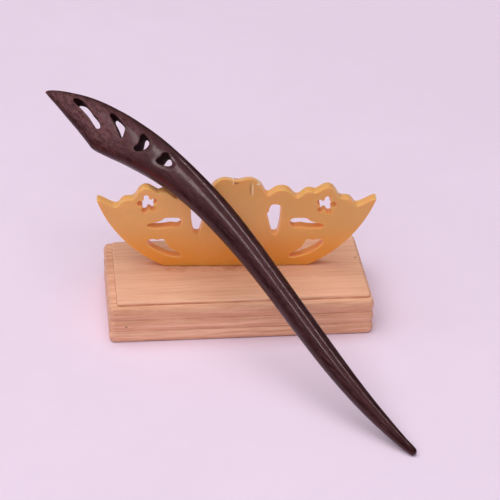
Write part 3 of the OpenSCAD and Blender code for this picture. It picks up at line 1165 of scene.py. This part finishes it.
    def face_points(self, rings: list[Array]) -> Array:
        """Loose points on a 2 mm lattice over the face, clear of every ring.

        Args:
            rings: the innermost rings of the face.

        Returns:
            The x and the height of each point.
        """
        gx, gz = np.meshgrid(np.arange(-45, 46, 2.0), np.arange(1, 31, 2.0))
        spots = np.stack([gx.ravel(), gz.ravel()], axis=1)
        spots = spots[inside_loops(spots, rings)]
        clear = np.min([loop_distance(spots, ring) for ring in rings], axis=0)
        return spots[clear > 0.8]

    def dress(self, piece: bpy.types.Object, groups: SharedGroups) -> None:
        """Give the plate its finish and its place in the frame.

        Args:
            piece: the mesh object that build made.
            groups: the shared node groups.
        """
        piece.data.materials.append(self.finish.material(groups, self.base_z))
        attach(piece, "root")
        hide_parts("stand_plate")


@dataclass
class HairStick:
    """Carved stick with a pierced blade, in millimetres.

    Its own frame is along, across and up from its face. Rows give the
    distance along, the right and the left edge and the share of the full
    thickness. A slot is the corners of a smooth loop. Its rim is a quarter
    circle, the face is dished by slot_dish round it, and its far end leans
    out by slot_reach at the front and in at the back, over lean_run. Runs
    give the start, end and step of the stations along the stick, and the end
    gaps are those close to its ends.
    """

    thickness: float = 7.0
    heading_deg: float = 128.6
    roll_deg: float = -35.4
    tip: tuple = (43.8, -88.9, 1.2)
    lean_top: float = 13.3 + 27.15 + 0.2
    lean_y: float = 1.7
    rows: tuple = (
        (-1.2, -0.2, 0.4, 0.12), (-0.8, -0.85, 0.95, 0.24), (0, -1.2, 1.3, 0.33),
        (4, -1.4, 1.8, 0.43), (10, -1.95, 2.2, 0.54), (20, -3.05, 2.3, 0.7),
        (30, -4.5, 1.8, 0.81), (40, -6.15, 0.85, 0.88), (55, -8.75, -1.2, 0.96),
        (70, -11.35, -3.45, 1), (85, -13.9, -5.2, 1), (100, -15.85, -6.15, 1),
        (112, -16.6, -6.1, 0.97), (124, -16.75, -4.8, 0.93), (136, -16.2, -2, 0.89),
        (146, -14.8, 1.05, 0.86), (149.5, -14.1, 1.9, 0.85), (152, -13.5, 1.65, 0.84),
        (158, -11.85, 0.95, 0.8), (164, -9.6, 0.45, 0.74), (170, -6.45, -0.1, 0.62),
        (174, -3.95, -0.35, 0.48), (176.4, -2, -0.55, 0.3), (177.2, -1, -0.6, 0.14))
    slots: tuple = (
        ((165.6, -5.3), (163.8, -4.9), (161.9, -4.8), (159.8, -4.7), (157.5, -4.5), (155.4, -4.1),
         (153.4, -3.6), (152, -3.7), (151.6, -4.6), (152.9, -5.4), (154.9, -5.9), (157.1, -6.2),
         (159.3, -6.4), (161.4, -6.8), (163.5, -6.8), (165, -6.1)),
        ((151.3, -9.6), (149.6, -9.1), (147.9, -8.5), (146.2, -7.8), (144.5, -7.2), (143.3, -6.8),
         (143.5, -7.7), (144.4, -9.2), (145.5, -10.3), (147, -10.6), (148.8, -10.9), (150.5, -10.9),
         (151.9, -10.7), (152.1, -10.1)),
        ((139.2, -12.4), (138.9, -11.7), (138.1, -10.7), (137.5, -9.7), (137.4, -8.8), (137.5, -7.8),
         (137.3, -7.3), (136.6, -7.1), (135.8, -7.5), (135, -8.3), (134.5, -9.3), (134.3, -10.3),
         (134.5, -11.3), (135, -12), (135.9, -12.5), (137.1, -12.8), (138.4, -12.9), (139.1, -12.9)),
        ((128.6, -12.5), (128.3, -11.3), (128.4, -10.2), (128.3, -9.5), (127.6, -9.3), (126.5, -9.6),
         (125.2, -10.1), (124.1, -10.7), (123.5, -11.5), (123.6, -12.1), (124.3, -12.6), (125.6, -13),
         (126.8, -13.4), (127.7, -13.7), (128.4, -13.2)))
    slot_rims: tuple = (0.35, 0.35, 0.4, 0.4)
    slot_dish: tuple = (0.03, 0.04, 0.1, 0.16)
    slot_reach: tuple = (0.8, 0.5, 0.0, 0.0)
    lean_run: float = 3.0
    blade_from: float = 110.0
    sheet_radius: float = 5.0
    runs: tuple = ((-0.8, 6, 0.4), (6, 116, 1.1), (116, 168, 0.45), (168, 176.3, 0.4))
    end_gaps: tuple = ((0, 0.01, 0.04, 0.1, 0.2, 0.3), (0.7, 0.5, 0.3, 0.2, 0.1, 0.04, 0.01, 0))
    finish: HardwoodFinish = field(default_factory=HardwoodFinish)

    def row_values(self, s: Array) -> Array:
        """Right edge, left edge and thickness share at each distance along.

        Between two rows each value follows a cubic whose slopes are those of
        the straight lines from the row before to the row after.

        Args:
            s: distances along the stick.

        Returns:
            The three values, in a last axis after those of s.
        """
        table = np.array(self.rows, float)
        at, values = table[:, 0], table[:, 1:]
        before = np.maximum(np.arange(len(at)) - 1, 0)
        after = np.minimum(np.arange(len(at)) + 1, len(at) - 1)
        slope = (values[after] - values[before]) / (at[after] - at[before])[:, None]
        i = np.clip(np.searchsorted(at, s, "right") - 1, 0, len(at) - 2)
        gap = (at[i + 1] - at[i])[..., None]
        u = ((s - at[i])[..., None]) / gap
        return (values[i] * (1 + 2 * u) * (1 - u) ** 2 + values[i + 1] * u * u * (3 - 2 * u)
                + gap * slope[i] * u * (1 - u) ** 2 - gap * slope[i + 1] * u * u * (1 - u))

    def section(self, s: Array) -> tuple[Array, Array, Array, Array]:
        """Middle, half width, half thickness and roundness power at each distance along.

        The last 0.4 mm at both ends closes as a quarter ellipse, and the
        section grows more boxy towards the blade.

        Args:
            s: distances along the stick.

        Returns:
            The four values, each shaped as s.
        """
        right, left, share = np.moveaxis(self.row_values(s), -1, 0)
        near = np.clip(np.minimum(s - self.rows[0][0], self.rows[-1][0] - s) / 0.4, 0, 1)
        close = np.sqrt(np.maximum(1 - (1 - near) ** 2, 0))
        u = np.clip((s - 95) / 40, 0, 1)
        power = 2 / (2.1 + 1.1 * u * u * (3 - 2 * u))
        return (right + left) / 2, (left - right) / 2 * close, share * self.thickness / 2 * close, power

    def face_height(self, spots: Array, slots: list[Array]) -> Array:
        """Height of the face over a place on the blade, dished round the slots.

        The section is a rounded box: the height falls from the middle as
        one less the across share to a power. A dish is a bell of the
        distance to its slot.

        Args:
            spots: distance along and place across of each point.
            slots: the front loops of the slots.

        Returns:
            The height of each point.
        """
        mid, half, thick, power = self.section(spots[:, 0])
        share = np.clip(np.abs(spots[:, 1] - mid) / np.maximum(half, 1e-6), 0, 1)
        up = thick * (1 - share ** (2 / power)) ** (power / 2)
        for loop, depth in zip(slots, self.slot_dish):
            near = np.abs(spots[:, 0] - loop[:, 0].mean()) < 16
            dip = np.zeros(len(spots))
            dip[near] = depth * np.exp(-(loop_distance(spots[near], loop) / 1.3) ** 2)
            up = up - dip * np.clip(up / thick.clip(1e-6), 0, 1) ** 0.5
        return up

    def to_sheet(self, spots: Array) -> Array:
        """Carry places on the face to the sheet of the distance along and the angle round.

        Args:
            spots: distance along and place across of each point.

        Returns:
            Distance along and scaled angle of each point.
        """
        mid, half, _, power = self.section(spots[:, 0])
        share = np.clip((spots[:, 1] - mid) / half, -1, 1)
        angle = np.arccos(np.sign(share) * np.abs(share) ** (1 / power))
        return np.stack([spots[:, 0], angle * self.sheet_radius], axis=1)

    def to_frame(self, local: Array) -> Array:
        """Carry the stick's own frame to that of the solids.

        It is rolled about its length, raised so that it rests on the plate,
        turned to its heading, and moved to the tip's place.

        Args:
            local: points in the stick's own frame.

        Returns:
            The points in the frame of the solids.
        """
        run = (self.lean_y - self.tip[1]) / math.sin(math.radians(self.heading_deg))
        rise = math.atan2(self.lean_top - self.tip[2], run)
        turn = (Matrix.Rotation(math.radians(self.heading_deg), 3, "Z") @ Matrix.Rotation(-rise, 3, "Y")
                @ Matrix.Rotation(math.radians(self.roll_deg), 3, "X"))
        return local @ np.array(turn).T + np.array(self.tip)

    def stations(self) -> Array:
        """Distances along the stick, close together at both ends and on the blade.

        Returns:
            The distances in order.
        """
        low, high = (np.array(gaps, float) for gaps in self.end_gaps)
        steps = [np.arange(*run) for run in self.runs]
        return np.concatenate([self.rows[0][0] + low, *steps, self.rows[-1][0] - high])

    def slot_loops(self) -> tuple[list[Array], list[Array]]:
        """Front loop of each slot, and how far it leans out from the back loop.

        The lean is the reach times the share of the last few millimetres,
        along the stick and a little outwards.

        Returns:
            The loops, and the lean of each of their points.
        """
        slots = [smooth_loop(corners, 0.28, 0.08) for corners in self.slots]
        leans: list[Array] = []
        for loop, reach in zip(slots, self.slot_reach):
            share = np.clip((loop[:, :1] - loop[:, 0].max() + self.lean_run) / self.lean_run, 0, 1)
            leans.append(reach * share * (loop_normals(loop) * 0.35 + [1, 0]))
        return [loop + lean for loop, lean in zip(slots, leans)], leans

    def slot_wall(self, loop: Array, lean: Array, rim: float, slots: list[Array]) -> tuple[Array, Array]:
        """Rings from the upper face through a slot to the lower face.

        Args:
            loop: the slot's front loop.
            lean: how far each point of it leans out from the back loop.
            rim: radius of the quarter circles at both faces.
            slots: the front loops of all slots, for the height of the face.

        Returns:
            The rings, and for each ring how far it is in the wall, from 0 to 1.
        """
        turn = np.linspace(0, math.pi / 2, 6)
        out = loop_normals(loop)
        flat = np.stack([set_in(loop, -out, spread) for spread in rim * (1 - np.sin(turn))])
        lip = self.face_height(set_in(loop, -out, rim), slots)
        high = lip[None] - (rim * (1 - np.cos(turn)))[:, None]
        upper = np.concatenate([flat, high[..., None]], axis=2)
        lower = upper[::-1] * [1, 1, -1]
        lower[..., :2] -= lean
        inward = np.concatenate([np.sin(turn), np.sin(turn)[::-1]]) ** 3
        return np.concatenate([upper, lower]), inward

    def build(self) -> bpy.types.Object:
        """Build the upper and the lower half as one sheet each, and line the slots.

        The sheet is a grid over the distance along and the angle round the
        section: across is the middle plus half the width times the cosine to
        a power, and up is half the thickness times the sine to that power.
        Grid points in and near a slot give way to rings round it, the rim of
        a slot is a quarter circle carried along its loop, and its wall joins
        the rims of the two halves. The attribute stick_place is a vertex's
        place in the stick's own frame, and stick_mark holds its share across,
        its share into a slot's wall, and its side.

        Returns:
            The stick.
        """
        s, a = np.meshgrid(self.stations(), np.linspace(0, math.pi, 41), indexing="ij")
        mid, half, thick, power = self.section(s)
        cos = np.cos(a)
        across = mid + half * np.sign(cos) * np.abs(cos) ** power
        up = thick * np.abs(np.sin(a)) ** power
        grid = np.stack([s, across, up], axis=2).reshape(-1, 3)
        sheet = np.stack([s, a * self.sheet_radius], axis=2).reshape(-1, 2)
        slots, leans = self.slot_loops()
        blade = grid[:, 0] > self.blade_from
        grid[blade, 2] = np.minimum(grid[blade, 2], self.face_height(grid[blade, :2], slots))

        rings: list[Array] = []
        ring_points: list[Array] = []
        keep = np.ones(len(grid), bool)
        for loop, rim in zip(slots, self.slot_rims):
            outer = set_in(loop, -loop_normals(loop), rim + 0.12)
            near = blade & (np.abs(grid[:, 0] - loop[:, 0].mean()) < 14)
            spots = grid[near, :2]
            keep[near] &= ~inside_loops(spots, [outer]) & (loop_distance(spots, outer) > 0.22)
            rings.append(self.to_sheet(outer))
            ring_points.append(np.column_stack([outer, self.face_height(outer, slots)]))
        index = np.arange(len(grid)).reshape(s.shape)
        border = np.concatenate([index[:, 0], index[-1, 1:], index[-2::-1, -1], index[0, -2:0:-1]])
        keep[border] = False
        tris = fill_between([sheet[border]] + rings, sheet[keep])
        above = np.vstack([grid[border]] + ring_points + [grid[keep]])
        total = len(above)
        faces = [tris[:, ::-1], tris + total]
        points = [above, above * [1, 1, -1]]
        walls = [np.zeros(2 * total)]

        start, first = 2 * total, len(border)
        for loop, lean, rim in zip(slots, leans, self.slot_rims):
            wall, inward = self.slot_wall(loop, lean, rim, slots)
            rows, n = wall.shape[:2]
            points.append(wall.reshape(-1, 3))
            walls.append(np.repeat(inward, n))
            chain = [first] + [start + i * n for i in range(rows)] + [total + first]
            faces += [strip_faces(a, b, n) for a, b in zip(chain, chain[1:])]
            start += rows * n
            first += n
        joined, lists, kept = weld(np.vstack(points), faces)
        piece = mesh_object("carved_stick", self.to_frame(joined), lists)
        mid, half, _, _ = self.section(joined[:, 0])
        across = np.clip((joined[:, 1] - mid) / np.maximum(half, 0.05), -1, 1)
        marks = np.column_stack([across, np.concatenate(walls)[kept], np.sign(joined[:, 2])])
        write_attribute(piece, "stick_mark", marks)
        write_attribute(piece, "stick_place", joined * MM)
        return piece

    def dress(self, piece: bpy.types.Object, groups: SharedGroups) -> None:
        """Give the stick its finish and its place in the frame.

        Args:
            piece: the mesh object that build made.
            groups: the shared node groups.
        """
        piece.data.materials.append(self.finish.material(groups))
        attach(piece, "root")
        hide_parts("hair_stick")


# -------------------------------------------------------------------- studio


@dataclass
class Studio:
    """Table, lights and camera. The eye is in millimetres, and a light's place and size in metres.

    Right, up and back are the camera's axes. The table's rings lie at
    table_reach, in millimetres. The lights face aim, in metres.
    """

    eye: tuple = (-63.396, -563.411, 347.614)
    right: tuple = (0.99407278, -0.10625805, 0.02298966)
    up: tuple = (0.03333338, 0.49917721, 0.86585853)
    back: tuple = (-0.10348036, -0.85996008, 0.49976042)
    lens: float = 144.24
    table_reach: tuple = (0.0, 300.0, 1200.0, 6000.0)
    table_sides: int = 96
    sky: Rgb = (0.93, 0.90, 0.95)
    sky_strength: float = 0.26
    warm: Rgb = (1.0, 0.965, 0.985)
    cool: Rgb = (1.0, 0.94, 0.98)
    aim: tuple = (0.0, 0.0, 0.02)
    floor: FloorFinish = field(default_factory=FloorFinish)

    def camera(self) -> None:
        """Place the camera at the photograph's angle."""
        data = bpy.data.cameras.new("camera")
        data.lens = self.lens
        data.sensor_width = 36.0
        data.clip_start, data.clip_end = 0.01, 50.0
        thing = bpy.data.objects.new("camera", data)
        turn = Matrix((self.right, self.up, self.back)).transposed()
        thing.matrix_world = Matrix.Translation(Vector(self.eye) * MM) @ turn.to_4x4()
        bpy.context.scene.collection.objects.link(thing)
        bpy.context.scene.camera = thing

    def table(self, groups: SharedGroups) -> None:
        """Lay a large level disc under the object: radius times cosine and sine of the way round.

        Args:
            groups: the shared node groups.
        """
        n = self.table_sides
        way = np.linspace(0, 2 * math.pi, n, endpoint=False)
        reach = np.array(self.table_reach)[:, None]
        rings = np.stack([reach * np.cos(way), reach * np.sin(way), 0.0 * reach * way], axis=2)
        faces = np.concatenate([strip_faces((i + 1) * n, i * n, n)[:, ::-1] for i in range(len(reach) - 1)])
        points, joined, _ = weld(rings.reshape(-1, 3), [faces])
        thing = mesh_object("table_surface", points, joined)
        thing.data.materials.append(self.floor.material(groups))

    def light(self, name: str, at: tuple, size: tuple, watts: float, colour: Rgb, mirrored: bool) -> None:
        """Add a rectangular soft light that faces the object.

        Args:
            name: name of the light.
            at: its place in metres.
            size: its two sides in metres.
            watts: its power.
            colour: its colour.
            mirrored: whether it shows only as a reflection, or else lights surfaces evenly.
        """
        data = bpy.data.lights.new(name, "AREA")
        data.shape = "RECTANGLE"
        data.size, data.size_y = size
        data.energy = watts
        data.color = colour
        thing = bpy.data.objects.new(name, data)
        turn = (Vector(self.aim) - Vector(at)).to_track_quat("-Z", "Y").to_matrix()
        thing.matrix_world = Matrix.Translation(Vector(at)) @ turn.to_4x4()
        thing.visible_glossy = mirrored
        thing.visible_diffuse = not mirrored
        bpy.context.scene.collection.objects.link(thing)

    def build(self, groups: SharedGroups) -> None:
        """Set up the camera, the table, the world and the lights.

        Args:
            groups: the shared node groups.
        """
        self.camera()
        self.table(groups)
        scene = bpy.context.scene
        world = bpy.data.worlds.new("soft room")
        world.use_nodes = True
        background = world.node_tree.nodes["Background"]
        background.inputs["Color"].default_value = (*self.sky, 1.0)
        background.inputs["Strength"].default_value = self.sky_strength
        scene.world = world
        world.cycles_visibility.glossy = False
        scene.view_settings.view_transform = "Standard"
        self.light("wide ceiling light", (-0.55, -0.05, 2.2), (3.0, 3.0), 46.5, self.warm, False)
        self.light("front fill light", (-0.5, -1.7, 1.1), (1.6, 1.0), 8.3, self.warm, False)
        self.light("right strip light", (0.26, 0.20, 1.2), (0.5, 0.06), 3.5, self.cool, True)
        self.light("left soft light", (-0.47, -0.18, 1.2), (0.5, 0.14), 3.3, self.cool, True)
        self.light("left panel light", (-0.9, -0.3, 0.9), (0.6, 0.6), 0.2, self.cool, True)


# ---------------------------------------------------------------------- main


def report(piece: bpy.types.Object) -> None:
    """Log a piece's name, face count and box in millimetres.

    Args:
        piece: the finished piece.
    """
    co = np.empty(len(piece.data.vertices) * 3, np.float32)
    piece.data.vertices.foreach_get("co", co)
    co = co.reshape(-1, 3) / MM
    log.info("%s: %d faces, x %.1f..%.1f, y %.1f..%.1f, z %.1f..%.1f", piece.name, len(piece.data.polygons),
             *[v for pair in zip(co.min(0), co.max(0)) for v in pair])


def main() -> None:
    """Build and dress every piece in order, then the studio."""
    logging.basicConfig(level=logging.INFO, format="%(name)s: %(message)s")
    groups = SharedGroups(grain=wood_grain_group(), handling=handling_group())
    for maker in (StandBlock(), StandPlate(), HairStick()):
        piece = maker.build()
        maker.dress(piece, groups)
        report(piece)
    Studio().build(groups)


if __name__ == "__main__":
    main()
